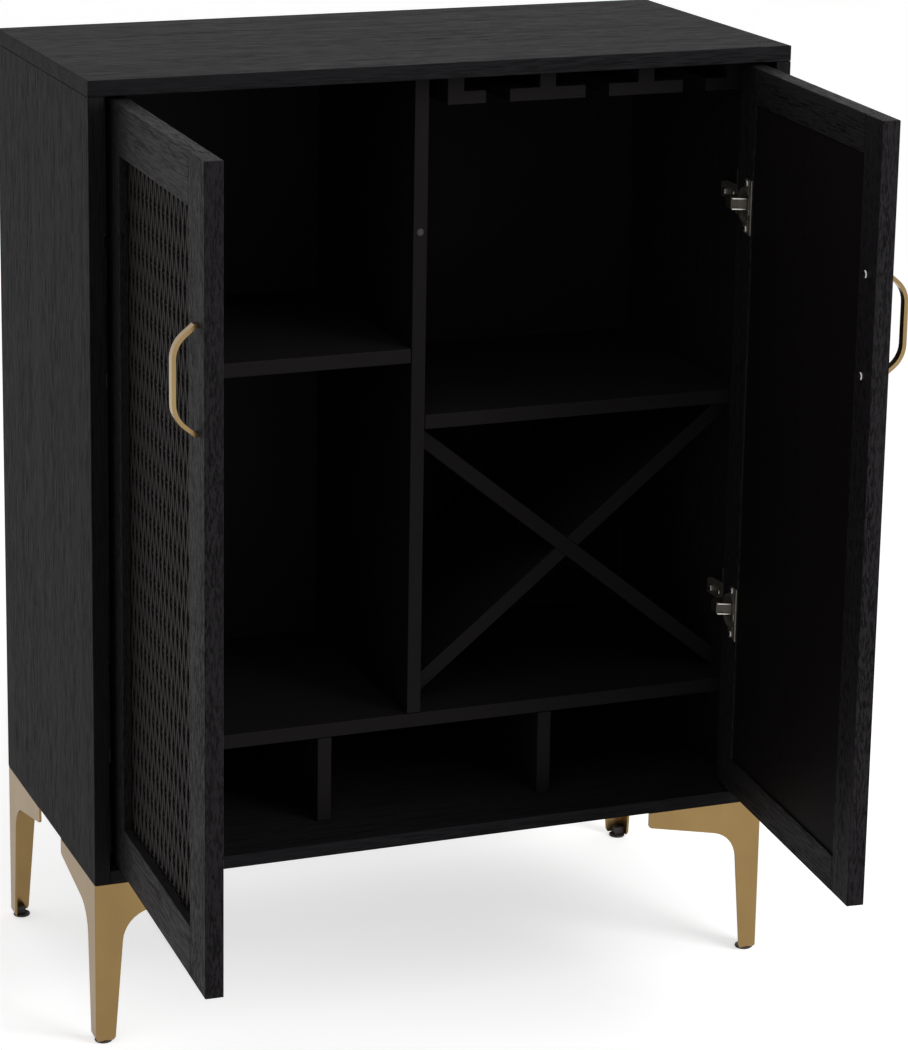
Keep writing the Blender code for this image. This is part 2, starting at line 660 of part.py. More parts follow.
def build_door(door, hand, open_degrees, base):
    pole = add_empty(door + "_hinge_axis", (-hand * POLE_X, POLE_Y, 0.0), base, -hand * open_degrees)
    hinge_stile = build_stile(door + "_hinge_stile", hand, 0.0, 1, pole)
    build_stile(door + "_free_stile", hand, DOOR_WIDTH, -1, pole)
    build_door_rail(door + "_top_rail", hand, DOOR_BOTTOM_Z + DOOR_HEIGHT, -1, pole)
    build_door_rail(door + "_bottom_rail", hand, DOOR_BOTTOM_Z, 1, pole)
    build_door_panels(door, hand, pole)
    for level, height in (("upper", UPPER_HINGE_HEIGHT), ("lower", LOWER_HINGE_HEIGHT)):
        z = BASE_Z + height
        name = f"{door}_{level}_hinge"
        build_hinge_cup(name + "_cup", hand, z, pole)
        build_hinge_pin(name + "_pin", z, pole)
        build_hinge_arm(name + "_arm", hand, z, base)
        seat = cylinder(name + "_cup_seat", CUP_RADIUS + SEAT_GAP, 2 * (CUP_DEPTH + SEAT_GAP), pole,
                        (door_x(hand, CUP_INSET), DOOR_INNER_Y, z), (-math.pi / 2, 0.0, 0.0))
        shape_by(hinge_stile, seat, "DIFFERENCE")
    build_handle(door, hand, pole)


def leg_side_outline(inward):
    """One face of a leg, from the corner inwards: an arm under the carcass, a fillet and a tapering foot."""
    top = LEG_HEIGHT - SEAT_GAP
    foot = PAD_DROP
    corners = [
        (0.0, top, 0),
        (0.0, foot + LEG_CHAMFER, 0),
        (LEG_CHAMFER / 2, foot, 0),
        (LEG_FOOT_WIDTH - LEG_CHAMFER / 2, foot, 0),
        (LEG_FOOT_WIDTH, foot + LEG_CHAMFER, 0),
        (LEG_TOP_WIDTH, top - LEG_ARM_ROOT, LEG_FILLET),
        (LEG_ARM, top - LEG_ARM_END, LEG_END_ROUND),
        (LEG_ARM, top, 0),
    ]
    return [(inward * point.x, point.y) for point in filleted(corners)]


def build_leg(name, side_x, side_y, base):
    """Sheet folded to an L in plan and cut to the same outline on both faces, with a screw flange on top."""
    inward_x, inward_y = -side_x, -side_y
    corner_x, corner_y = side_x * WIDTH / 2, side_y * DEPTH / 2
    top = LEG_HEIGHT - SEAT_GAP
    plan = [(0.0, 0.0, LEG_FOLD_RADIUS), (LEG_ARM, 0.0, 0), (LEG_ARM, LEG_SHEET, 0),
            (LEG_SHEET, LEG_SHEET, LEG_FOLD_RADIUS - LEG_SHEET), (LEG_SHEET, LEG_ARM, 0), (0.0, LEG_ARM, 0)]
    outline = [(inward_x * point.x, inward_y * point.y) for point in filleted(plan)]
    leg = outline_solid(name, outline, top, base, (corner_x, corner_y, top / 2))
    depth = 2 * (LEG_ARM + OVERRUN)
    front = outline_solid(name + "_front_shape", leg_side_outline(inward_x), depth, base,
                          (corner_x, corner_y, 0.0), "XZ")
    shape_by(leg, front, "INTERSECT")
    side = outline_solid(name + "_side_shape", leg_side_outline(inward_y), depth, base,
                         (corner_x, corner_y, 0.0), "YZ")
    shape_by(leg, side, "INTERSECT")
    start = LEG_SHEET / 2
    corners = [(start, start), (LEG_FLANGE, start), (LEG_FLANGE, LEG_FLANGE_END), (LEG_FLANGE_END, LEG_FLANGE),
               (start, LEG_FLANGE)]
    flange_plan = [(inward_x * x, inward_y * y) for x, y in corners]
    flange = outline_solid(name + "_flange", flange_plan, LEG_SHEET, base,
                           (corner_x, corner_y, top - LEG_SHEET / 2))
    shape_by(leg, flange, "UNION")
    gold(leg)
    build_foot_pad(name.replace("_leg", "_foot_pad"), inward_x, inward_y, (corner_x, corner_y), base)


def build_foot_pad(name, inward_x, inward_y, corner, base):
    """A round plastic glide under the foot, with a plug that stands in the fold of the leg."""
    middle = LEG_FOOT_WIDTH / 2
    sole_height = PAD_DROP - SEAT_GAP
    place = (corner[0] + inward_x * middle, corner[1] + inward_y * middle, sole_height / 2)
    pad = cylinder(name, middle - PAD_MARGIN, sole_height, base, place)
    round_edges(pad, PAD_ROUND)
    inner = LEG_SHEET + SEAT_GAP
    xs = sorted(corner[0] + inward_x * value for value in (inner, inner + PAD_PLUG))
    ys = sorted(corner[1] + inward_y * value for value in (inner, inner + PAD_PLUG))
    plug = box(name + "_plug", (xs[0], ys[0], sole_height / 2), (xs[1], ys[1], PAD_HEIGHT), base)
    shape_by(pad, plug, "UNION")
    paint(pad, DARK_PLASTIC, 0.6)


def build_legs(base):
    for depth_name, side_y in (("front", -1), ("rear", 1)):
        for width_name, side_x in (("left", -1), ("right", 1)):
            build_leg(f"{depth_name}_{width_name}_leg", side_x, side_y, base)


def build_cabinet():
    centre_x, centre_y = resting_centre()
    base = add_empty("cabinet_centre", (-centre_x, -centre_y, 0.0))
    build_carcass(base)
    build_shelves(base)
    build_wine_cross(base)
    build_stemware_rails(base)
    build_door("left_door", 1, LEFT_DOOR_OPEN_DEGREES, base)
    build_door("right_door", -1, RIGHT_DOOR_OPEN_DEGREES, base)
    build_legs(base)


clear_scene()
PARTS = new_collection("bar_cabinet")
CUTTERS = new_collection("cutters")
build_cabinet()
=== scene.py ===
import json
import math

import bmesh
import bpy
from mathutils import Matrix, Vector


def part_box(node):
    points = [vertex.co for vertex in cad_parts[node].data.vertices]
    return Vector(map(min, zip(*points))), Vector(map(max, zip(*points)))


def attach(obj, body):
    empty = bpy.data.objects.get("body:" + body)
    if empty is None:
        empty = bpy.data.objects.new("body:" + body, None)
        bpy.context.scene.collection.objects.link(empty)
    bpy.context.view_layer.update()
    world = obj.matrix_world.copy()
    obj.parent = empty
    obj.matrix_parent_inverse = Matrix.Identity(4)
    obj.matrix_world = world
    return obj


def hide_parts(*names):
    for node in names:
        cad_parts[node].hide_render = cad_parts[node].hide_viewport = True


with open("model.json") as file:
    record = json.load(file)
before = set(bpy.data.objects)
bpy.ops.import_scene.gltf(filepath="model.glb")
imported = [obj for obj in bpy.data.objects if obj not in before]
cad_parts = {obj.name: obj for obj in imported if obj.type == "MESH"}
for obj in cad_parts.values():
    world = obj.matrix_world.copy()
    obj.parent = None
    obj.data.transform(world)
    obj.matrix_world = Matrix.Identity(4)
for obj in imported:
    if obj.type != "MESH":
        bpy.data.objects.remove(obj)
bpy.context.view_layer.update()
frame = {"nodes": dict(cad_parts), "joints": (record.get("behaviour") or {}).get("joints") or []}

MM = 0.001

# The photograph's frame and the pinhole camera fitted to the cabinet's edges in it, placed from the
# foot of the carcass's front left corner
IMAGE_WIDTH, IMAGE_HEIGHT = 908, 1050
FOCAL_PIXELS = 3338.8
PRINCIPAL_PIXEL = (310.0, 315.0)
CAMERA_FROM_CORNER = (-0.8454, -3.0466, 1.5266)
CAMERA_TURN_DEGREES = 19.390
CAMERA_TILT_DEGREES = -13.461
CAMERA_ROLL_DEGREES = 0.360
SENSOR_MM = 36.0

# Hinges and legs, with the CAD's sizes
WING_THICKNESS = 2.5 * MM
ARM_TAIL = 50 * MM
ARM_NECK = 10 * MM
ARM_NECK_RISE = 4.2 * MM
ARM_SHOULDER = 9 * MM
ARM_THICKNESS = 3 * MM
ARM_REACH = 15.5 * MM
CUP_REACH = 40 * MM
EARS_REACH = 33 * MM
EAR_SCREW_REACH = 27 * MM
POLE_INSET = 16 * MM
LEG_SHEET = 2.5 * MM

# Folded sheet round a hinge arm, rims and cup flange, which the CAD leaves out
CHANNEL_LEAD = 3 * MM
CHANNEL_TAIL = 5 * MM
CHANNEL_ROOT = 3.5 * MM
CHANNEL_FACE = 10.5 * MM
CHANNEL_HALF = 8 * MM
CHANNEL_FOLD = 1.4 * MM
CHANNEL_FOLD_SEGMENTS = 4
CHANNEL_SHEET = 0.9 * MM
ALONG_AXIS = 0.9
RIM_START = 3.3 * MM
FLANGE = 1.2 * MM
FLANGE_DEPTH = 1.6 * MM
FLANGE_START_SHARE = 0.5
CUP_RIM = 1.5 * MM

# Screws: radius, height and half the length of the driver's cross
WING_SCREW = (3.6 * MM, 1.8 * MM, 2.2 * MM)
WING_SCREW_SPACING = 32 * MM
EAR_SCREW = (3.8 * MM, 1.4 * MM, 2.3 * MM)
EAR_SCREW_SPACING = 48 * MM
LEG_SCREW = (4.0 * MM, 2.0 * MM, 2.4 * MM)
LEG_SCREW_PLACES = ((18 * MM, 18 * MM), (46 * MM, 10 * MM), (10 * MM, 46 * MM))
# Screws on the channel: share of its length from the rear, radius and drop below the hinge's middle
CHANNEL_SCREWS = ((0.12, 4.0 * MM, 1.5 * MM), (0.48, 2.6 * MM, 0.0), (0.86, 3.0 * MM, 0.0))
CHANNEL_SCREW_HEIGHT = 1.2 * MM
CHANNEL_CROSS_SHARE = 0.6
SCREW_SIDES = 20
SCREW_ROUND_SHARE = 0.6
SCREW_ROUND_SEGMENTS = 3
CROSS_WIDTH_SHARE = 0.28
CROSS_DEPTH_SHARE = 0.1
CROSS_PROUD = 0.02 * MM

# Cover cap in the divider's front edge
CAP_RADIUS = 4 * MM
CAP_TOP_SHARE = 0.8
CAP_HEIGHT = 0.6 * MM
CAP_SIDES = 24
CAP_ABOVE_CARCASS_FOOT = 641.5 * MM

# Woven cane, measured on the photograph: a hole every 15 mm along a row, and rows 28.5 mm apart, staggered
STRAND_SPACING = 7.5 * MM
STRAND_WIDTH = 6.9 * MM
STRAND_PINCH_SHARE = 0.24
STRAND_PINCH_POWER = 6
STRAND_SWAY = 0.3 * MM
STRAND_LIFT = 0.80 * MM
STRAND_LIFT_POWER = 1.7
STRAND_CROWN = 0.7 * MM
CROWN_SHARES = (0.0, 0.75, 1.0, 0.75, 0.0)
ROW_HEIGHT = 28.5 * MM
ROD_HEIGHT = 2.4 * MM
ROD_CROWN = 0.4 * MM
PEEL = 0.5 * MM
CANE_MARGIN = 4 * MM
STEPS_PER_ROW = 10
CANE_SHARP_DEGREES = 60.0

# Wood grain. The doors' pores are finer in the photograph and drawn coarser, so that they hold at its size.
CARCASS_PORE = (1.2 * MM, 30 * MM)
STILE_PORE = (2.0 * MM, 9 * MM)
RAIL_PORE = (1.4 * MM, 24 * MM)
GRAIN_BAND = (14 * MM, 420 * MM)
CARCASS_TONES = ("#1c1b1d", "#0f0e0f")
DOOR_TONES = ("#1f1d1f", "#040304")
CARCASS_RELIEF = 0.3
DOOR_RELIEF = 0.9

# Width and length of the other materials' patterns, and the back panel's arched rings
LAMINATE_GRAIN = (1.6 * MM, 60 * MM)
RING_WIDTH = 16 * MM
RING_HEIGHT = 38 * MM
RING_SWAY = 5.0
RING_SWAY_PER_METRE = 7.0
BACK_PANEL_PORE = (1.1 * MM, 16 * MM)
CANE_FIBRE = (0.5 * MM, 9 * MM)
BRUSHING = (0.8 * MM, 14 * MM)
PLATE_CLOUD = (40 * MM, 60 * MM)
TUMBLING_MARK = (2.5 * MM, 2.5 * MM)
TUMBLING_SPREAD = 0.14
PLASTIC_GRAIN = (0.6 * MM, 0.6 * MM)

MATT_SPECULAR = 0.025
DOOR_SPECULAR = 0.055
CANE_SPECULAR = 0.06

# Studio: each lamp's name, place, size and power, what they aim at, and how bright floor and world are
LAMPS = (
    ("front_softbox", (1.8, -2.2, 1.8), 1.6, 52.0),
    ("top_softbox", (-0.4, -0.8, 3.4), 2.4, 7.0),
)
LAMP_TARGET = (0.0, 0.0, 0.55)
FLOOR_HALF = 9.0
FLOOR_GLOW = 0.55
WORLD_LIGHT = 0.55
WORLD_SEEN = 1.0


def linear(hex_colour):
    """sRGB hex to the linear colour that the shader works in."""
    channels = [int(hex_colour[i:i + 2], 16) / 255 for i in (1, 3, 5)]
    return [c / 12.92 if c <= 0.04045 else ((c + 0.055) / 1.055) ** 2.4 for c in channels] + [1.0]


def node(tree, kind, settings=None, values=None, links=None):
    """Adds a node with its settings and socket values, and links its inputs from other nodes' outputs."""
    made = tree.nodes.new(kind)
    for name, value in (settings or {}).items():
        setattr(made, name, value)
    for socket, value in (values or {}).items():
        made.inputs[socket].default_value = value
    for socket, source in (links or {}).items():
        tree.links.new(source, made.inputs[socket])
    return made


def new_material(name):
    material = bpy.data.materials.new(name)
    material.use_nodes = True
    return material, material.node_tree, material.node_tree.nodes["Principled BSDF"]


def grain_space(tree, centre, turn, cell):
    """Object coordinates seen from a turned piece and divided by the pattern's real cell size in metres."""
    place = node(tree, "ShaderNodeTexCoord")
    values = {"Location": centre, "Rotation": (0.0, 0.0, turn), "Scale": cell}
    return node(tree, "ShaderNodeMapping", {"vector_type": "TEXTURE"}, values,
                {"Vector": place.outputs["Object"]})


def grain_cell(along, width, length):
    return tuple(length if axis == along else width for axis in "XYZ")


def stained_veneer(name, along, turn=0.0, colours=CARCASS_TONES, pore=CARCASS_PORE, relief=CARCASS_RELIEF,
                   gloss=MATT_SPECULAR):
    """Ash veneer, stained black and sealed matt: pores along the grain break a soft, low sheen."""
    material, tree, shader = new_material(name)
    space = grain_space(tree, (0, 0, 0), turn, grain_cell(along, *pore))
    pores = node(tree, "ShaderNodeTexNoise", {}, {"Scale": 1.0, "Detail": 3.0, "Roughness": 0.65},
                 {"Vector": space.outputs["Vector"]})
    open_pores = node(tree, "ShaderNodeMapRange", {}, {"From Min": 0.45, "From Max": 0.58},
                      {"Value": pores.outputs["Fac"]})
    band_space = grain_space(tree, (0, 0, 0), turn, grain_cell(along, *GRAIN_BAND))
    bands = node(tree, "ShaderNodeTexNoise", {},
                 {"Scale": 1.0, "Detail": 4.0, "Roughness": 0.55, "Distortion": 0.6},
                 {"Vector": band_space.outputs["Vector"]})
    dense = node(tree, "ShaderNodeMapRange", {},
                 {"From Min": 0.35, "From Max": 0.70, "To Min": 0.4, "To Max": 1.0},
                 {"Value": bands.outputs["Fac"]})
    marked = node(tree, "ShaderNodeMath", {"operation": "MULTIPLY"}, {},
                  {0: open_pores.outputs["Result"], 1: dense.outputs["Result"]})
    tone = node(tree, "ShaderNodeMix", {"data_type": "RGBA"},
                {"A": linear(colours[0]), "B": linear(colours[1])},
                {"Factor": marked.outputs["Value"]})
    tree.links.new(tone.outputs["Result"], shader.inputs["Base Color"])
    rough = node(tree, "ShaderNodeMapRange", {}, {"To Min": 0.50, "To Max": 0.75},
                 {"Value": marked.outputs["Value"]})
    tree.links.new(rough.outputs["Result"], shader.inputs["Roughness"])
    bump = node(tree, "ShaderNodeBump", {"invert": True}, {"Strength": relief, "Distance": 0.4 * MM},
                {"Height": marked.outputs["Value"]})
    tree.links.new(bump.outputs["Normal"], shader.inputs["Normal"])
    shader.inputs["Specular IOR Level"].default_value = gloss
    return material


def black_laminate(name, along, colour="#161414"):
    """Black melamine on chipboard with a pressed wood grain: smooth, satin and a little brown."""
    material, tree, shader = new_material(name)
    space = grain_space(tree, (0, 0, 0), 0.0, grain_cell(along, *LAMINATE_GRAIN))
    grain = node(tree, "ShaderNodeTexNoise", {}, {"Scale": 1.0, "Detail": 4.0, "Roughness": 0.6},
                 {"Vector": space.outputs["Vector"]})
    tone = node(tree, "ShaderNodeMix", {"data_type": "RGBA"}, {"A": linear(colour), "B": linear("#1f1d1d")},
                {"Factor": grain.outputs["Fac"]})
    tree.links.new(tone.outputs["Result"], shader.inputs["Base Color"])
    rough = node(tree, "ShaderNodeMapRange", {}, {"To Min": 0.42, "To Max": 0.56},
                 {"Value": grain.outputs["Fac"]})
    tree.links.new(rough.outputs["Result"], shader.inputs["Roughness"])
    bump = node(tree, "ShaderNodeBump", {}, {"Strength": 0.15, "Distance": 0.2 * MM},
                {"Height": grain.outputs["Fac"]})
    tree.links.new(bump.outputs["Normal"], shader.inputs["Normal"])
    shader.inputs["Specular IOR Level"].default_value = MATT_SPECULAR
    return material


def crown_cut_veneer(name, door):
    """Crown-cut ash veneer stained black: tall arched growth rings run up the middle of the back panel."""
    material, tree, shader = new_material(name)
    low, high = local_box(door.name + "_back_panel", door.space)
    middle = door.space @ ((low + high) / 2)
    space = grain_space(tree, middle, door.turn, (1.0, 1.0, 1.0))
    wander = node(tree, "ShaderNodeTexNoise", {}, {"Scale": RING_SWAY_PER_METRE, "Detail": 2.0},
                  {"Vector": space.outputs["Vector"]})
    axes = node(tree, "ShaderNodeSeparateXYZ", {}, {}, {"Vector": space.outputs["Vector"]})
    across = node(tree, "ShaderNodeMath", {"operation": "DIVIDE"}, {1: RING_WIDTH}, {0: axes.outputs["X"]})
    arch = node(tree, "ShaderNodeMath", {"operation": "MULTIPLY"}, {},
                {0: across.outputs["Value"], 1: across.outputs["Value"]})
    tall = node(tree, "ShaderNodeMath", {"operation": "DIVIDE"}, {1: RING_HEIGHT}, {0: axes.outputs["Z"]})
    lifted = node(tree, "ShaderNodeMath", {"operation": "ADD"}, {},
                  {0: arch.outputs["Value"], 1: tall.outputs["Value"]})
    swayed = node(tree, "ShaderNodeMath", {"operation": "MULTIPLY_ADD"}, {1: RING_SWAY},
                  {0: wander.outputs["Fac"], 2: lifted.outputs["Value"]})
    ring = node(tree, "ShaderNodeMath", {"operation": "FRACT"}, {}, {0: swayed.outputs["Value"]})
    pore = grain_space(tree, (0, 0, 0), door.turn, grain_cell("Z", *BACK_PANEL_PORE))
    pores = node(tree, "ShaderNodeTexNoise", {}, {"Scale": 1.0, "Detail": 3.0, "Roughness": 0.65},
                 {"Vector": pore.outputs["Vector"]})
    marked = node(tree, "ShaderNodeMath", {"operation": "MULTIPLY"}, {},
                  {0: ring.outputs["Value"], 1: pores.outputs["Fac"]})
    tone = node(tree, "ShaderNodeMix", {"data_type": "RGBA"},
                {"A": linear("#151212"), "B": linear("#090707")},
                {"Factor": marked.outputs["Value"]})
    tree.links.new(tone.outputs["Result"], shader.inputs["Base Color"])
    rough = node(tree, "ShaderNodeMapRange", {}, {"To Min": 0.45, "To Max": 0.7},
                 {"Value": marked.outputs["Value"]})
    tree.links.new(rough.outputs["Result"], shader.inputs["Roughness"])
    bump = node(tree, "ShaderNodeBump", {"invert": True}, {"Strength": 0.4, "Distance": 0.3 * MM},
                {"Height": marked.outputs["Value"]})
    tree.links.new(bump.outputs["Normal"], shader.inputs["Normal"])
    shader.inputs["Specular IOR Level"].default_value = MATT_SPECULAR
    return material


def lacquered_cane(name):
    """Rattan peel lacquered black with faint fibres, smoother where a strand stands proud, with painted
    light: paler there, darker where it dips.
    """
    material, tree, shader = new_material(name)
    space = grain_space(tree, (0, 0, 0), 0.0, grain_cell("Z", *CANE_FIBRE))
    fibre = node(tree, "ShaderNodeTexNoise", {}, {"Scale": 1.0, "Detail": 2.0},
                 {"Vector": space.outputs["Vector"]})
    raised_painted_light = node(tree, "ShaderNodeAttribute", {"attribute_name": "raised_painted_light"})
    fibre_wear_and_painted_light = node(tree, "ShaderNodeMath", {"operation": "MULTIPLY"}, {},
                {0: fibre.outputs["Fac"], 1: raised_painted_light.outputs["Fac"]})
    # Painted light: the paler tone paints a strand that stands proud as lit, the darker one paints it as
    # shaded where it dips under a rod.
    tone = node(tree, "ShaderNodeMix", {"data_type": "RGBA"},
                {"A": linear("#110e0d"), "B": linear("#1f1a18")},
                {"Factor": fibre_wear_and_painted_light.outputs["Value"]})
    tree.links.new(tone.outputs["Result"], shader.inputs["Base Color"])
    rough = node(tree, "ShaderNodeMapRange", {}, {"To Min": 0.60, "To Max": 0.34},
                 {"Value": fibre_wear_and_painted_light.outputs["Value"]})
    tree.links.new(rough.outputs["Result"], shader.inputs["Roughness"])
    bump = node(tree, "ShaderNodeBump", {}, {"Strength": 0.2, "Distance": 0.1 * MM},
                {"Height": fibre.outputs["Fac"]})
    tree.links.new(bump.outputs["Normal"], shader.inputs["Normal"])
    shader.inputs["Specular IOR Level"].default_value = CANE_SPECULAR
    return material


def champagne_plate(name, colour, rough_low, rough_high):
    """Steel plated champagne gold and brushed fine: a warm satin metal with soft, cloudy highlights."""
    material, tree, shader = new_material(name)
    space = grain_space(tree, (0, 0, 0), 0.0, grain_cell("Z", *BRUSHING))
    brushed = node(tree, "ShaderNodeTexNoise", {}, {"Scale": 1.0, "Detail": 3.0},
                   {"Vector": space.outputs["Vector"]})
    cloud_space = grain_space(tree, (0, 0, 0), 0.0, grain_cell("Z", *PLATE_CLOUD))
    cloud = node(tree, "ShaderNodeTexNoise", {}, {"Scale": 1.0, "Detail": 2.0},
                 {"Vector": cloud_space.outputs["Vector"]})
    tone = node(tree, "ShaderNodeMix", {"data_type": "RGBA"}, {"A": linear(colour), "B": linear("#846c47")},
                {"Factor": cloud.outputs["Fac"]})
    tree.links.new(tone.outputs["Result"], shader.inputs["Base Color"])
    rough = node(tree, "ShaderNodeMapRange", {}, {"To Min": rough_low, "To Max": rough_high},
                 {"Value": brushed.outputs["Fac"]})
    tree.links.new(rough.outputs["Result"], shader.inputs["Roughness"])
    bump = node(tree, "ShaderNodeBump", {}, {"Strength": 0.08, "Distance": 0.05 * MM},
                {"Height": brushed.outputs["Fac"]})
    tree.links.new(bump.outputs["Normal"], shader.inputs["Normal"])
    shader.inputs["Metallic"].default_value = 1.0
    return material


def plated_steel(name, colour, smooth):
    """Pressed or turned steel with a thin bright plating: clear highlights, faint tumbling marks."""
    material, tree, shader = new_material(name)
    space = grain_space(tree, (0, 0, 0), 0.0, grain_cell("Z", *TUMBLING_MARK))
    marks = node(tree, "ShaderNodeTexNoise", {}, {"Scale": 1.0, "Detail": 3.0},
                 {"Vector": space.outputs["Vector"]})
    rough = node(tree, "ShaderNodeMapRange", {}, {"To Min": smooth, "To Max": smooth + TUMBLING_SPREAD},
                 {"Value": marks.outputs["Fac"]})
    tree.links.new(rough.outputs["Result"], shader.inputs["Roughness"])
    shader.inputs["Base Color"].default_value = linear(colour)
    shader.inputs["Metallic"].default_value = 1.0
    return material


def moulded_plastic(name, colour):
    """Moulded polypropylene glide: dull, dark brown, with a fine spark-eroded grain."""
    material, tree, shader = new_material(name)
    space = grain_space(tree, (0, 0, 0), 0.0, grain_cell("Z", *PLASTIC_GRAIN))
    grain = node(tree, "ShaderNodeTexNoise", {}, {"Scale": 1.0, "Detail": 2.0},
                 {"Vector": space.outputs["Vector"]})
    bump = node(tree, "ShaderNodeBump", {}, {"Strength": 0.2, "Distance": 0.05 * MM},
                {"Height": grain.outputs["Fac"]})
    rough = node(tree, "ShaderNodeMapRange", {}, {"To Min": 0.5, "To Max": 0.65},
                 {"Value": grain.outputs["Fac"]})
    tree.links.new(rough.outputs["Result"], shader.inputs["Roughness"])
    tree.links.new(bump.outputs["Normal"], shader.inputs["Normal"])
    shader.inputs["Base Color"].default_value = linear(colour)
    return material


class Door:
    """A door's place: its space has the hinge axis at x = y = 0 and the door closed, seen from the front."""

    def __init__(self, name, hand):
        joint = next(j for j in frame["joints"] if j["child"] == name)
        self.name = name
        self.hand = hand
        self.turn = -math.radians(joint["range_deg"][0]) * joint["axis"][2]
        self.pole = Vector((joint["pos_m"][0], joint["pos_m"][1], 0.0))
        self.space = Matrix.Translation(self.pole) @ Matrix.Rotation(self.turn, 4, "Z")


def local_box(node_name, space):
    """Lowest and highest corner of a CAD node in a space of its own."""
    inverse = space.inverted()
    points = [inverse @ v.co for v in frame["nodes"][node_name].data.vertices]
    low = Vector([min(p[i] for p in points) for i in range(3)])
    high = Vector([max(p[i] for p in points) for i in range(3)])
    return low, high


def add_piece(name, shape, material, body, space=None, smooth_degrees=35.0):
    """Makes a finished piece at the origin, with its place in its mesh, and lets it ride on its body."""
    if space is not None:
        bmesh.ops.transform(shape, matrix=space, verts=shape.verts)
    mesh = bpy.data.meshes.new(name)
    shape.to_mesh(mesh)
    shape.free()
    mesh.shade_smooth()
    mesh.set_sharp_from_angle(angle=math.radians(smooth_degrees))
    mesh.materials.append(material)
    piece = bpy.data.objects.new(name, mesh)
    bpy.context.scene.collection.objects.link(piece)
    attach(piece, body)
    return piece


def block(shape, low, high):
    """A box between two corners, added to a bmesh. Returns its vertices."""
    low, high = Vector(low), Vector(high)
    made = bmesh.ops.create_cube(shape, size=1.0)["verts"]
    bmesh.ops.scale(shape, vec=high - low, verts=made)
    bmesh.ops.translate(shape, vec=(low + high) / 2, verts=made)
    return made


def soften(shape, edges, width, segments=2):
    bmesh.ops.bevel(shape, geom=edges, offset=width, segments=segments, profile=0.5, affect="EDGES",
                    material=-1)


def ribbon(shape, length, width, steps, heights):
    """A strip along its own Z with given heights across it, facing -Y. Returns its vertices."""
    across = len(heights) - 1
    made = bmesh.ops.create_grid(shape, x_segments=across, y_segments=steps, size=0.5)["verts"]
    for vertex in made:
        column = round((vertex.co.x + 0.5) * across)
        vertex.co = (vertex.co.x * width, -heights[column], (vertex.co.y + 0.5) * length)
    return made


def woven_cane(door, material):
    """Flat uprights that pass over one rod and under the next, each out of step with its neighbour."""
    low, high = local_box(door.name + "_cane_panel", door.space)
    margin = Vector((CANE_MARGIN, 0.0, CANE_MARGIN))
    low, high = low + margin, high - margin
    wide, tall = high.x - low.x, high.z - low.z
    middle_x, middle_z = (low.x + high.x) / 2, (low.z + high.z) / 2
    middle_y = high.y - PEEL - STRAND_LIFT
    strands = int(wide / STRAND_SPACING / 2)
    rows = int(tall / ROW_HEIGHT / 2)
    crowns = [STRAND_CROWN * share for share in CROWN_SHARES]
    shape = bmesh.new()
    raised_painted_light = shape.verts.layers.float.new("raised_painted_light")
    for index in range(-strands, strands + 1):
        side = 1 if index % 2 else -1
        for vertex in ribbon(shape, tall, STRAND_WIDTH, round(tall / ROW_HEIGHT * STEPS_PER_ROW), crowns):
            z = vertex.co.z + low.z
            phase = math.pi * (z - middle_z) / ROW_HEIGHT
            over = side * math.cos(phase)
            sway = side * STRAND_SWAY * math.sin(phase)
            narrow = 1 - STRAND_PINCH_SHARE * abs(over) ** STRAND_PINCH_POWER
            x = middle_x + index * STRAND_SPACING + sway + vertex.co.x * narrow
            lift = math.copysign(STRAND_LIFT * abs(over) ** STRAND_LIFT_POWER, over)
            vertex.co = (x, middle_y - lift + vertex.co.y, z)
            # Share of painted light: 1 where a strand stands proud and is painted as lit, 0 where it dips
            # under a rod and is painted as shaded.
            vertex[raised_painted_light] = (1 + over) / 2
    for row in range(-rows, rows + 1):
        for vertex in ribbon(shape, wide, ROD_HEIGHT, 1, [0.0, ROD_CROWN, 0.0]):
            height = middle_z + row * ROW_HEIGHT + vertex.co.x
            vertex.co = (vertex.co.z + low.x, middle_y + vertex.co.y, height)
            # The rods take the middle of the painted light.
            vertex[raised_painted_light] = 0.5
    piece = add_piece(door.name + "_cane_weave", shape, material, door.name, door.space,
                      CANE_SHARP_DEGREES)
    peel = piece.modifiers.new("peel", "SOLIDIFY")
    peel.thickness = PEEL
    peel.offset = 0.0
    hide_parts(door.name + "_cane_panel")


def screw_head(shape, size, place, turn):
    """A pan head standing on +Z, moved to its place. Two bars a hair proud of it draw the driver's cross."""
    radius, height, cross = size
    made = bmesh.ops.create_cone(shape, cap_ends=True, segments=SCREW_SIDES, radius1=radius, radius2=radius,
                                 depth=height)["verts"]
    top = [e for e in shape.edges if all(v in made and v.co.z > 0 for v in e.verts)]
    grown = bmesh.ops.bevel(shape, geom=top, offset=height * SCREW_ROUND_SHARE, segments=SCREW_ROUND_SEGMENTS,
                            profile=0.5, affect="EDGES", material=-1)
    made = list({v for v in made if v.is_valid} | set(grown["verts"]))
    arms = []
    for angle in (0.0, 90.0):
        low = (-cross, -cross * CROSS_WIDTH_SHARE, height / 2 - height * CROSS_DEPTH_SHARE)
        high = (cross, cross * CROSS_WIDTH_SHARE, height / 2 + CROSS_PROUD)
        bar = block(shape, low, high)
        quarter = Matrix.Rotation(math.radians(angle), 3, "Z")
        bmesh.ops.rotate(shape, verts=bar, cent=(0, 0, 0), matrix=quarter)
        arms += bar
    every = made + arms
    bmesh.ops.translate(shape, vec=(0, 0, height / 2), verts=every)
    bmesh.ops.transform(shape, matrix=Matrix.Translation(place) @ turn, verts=every)


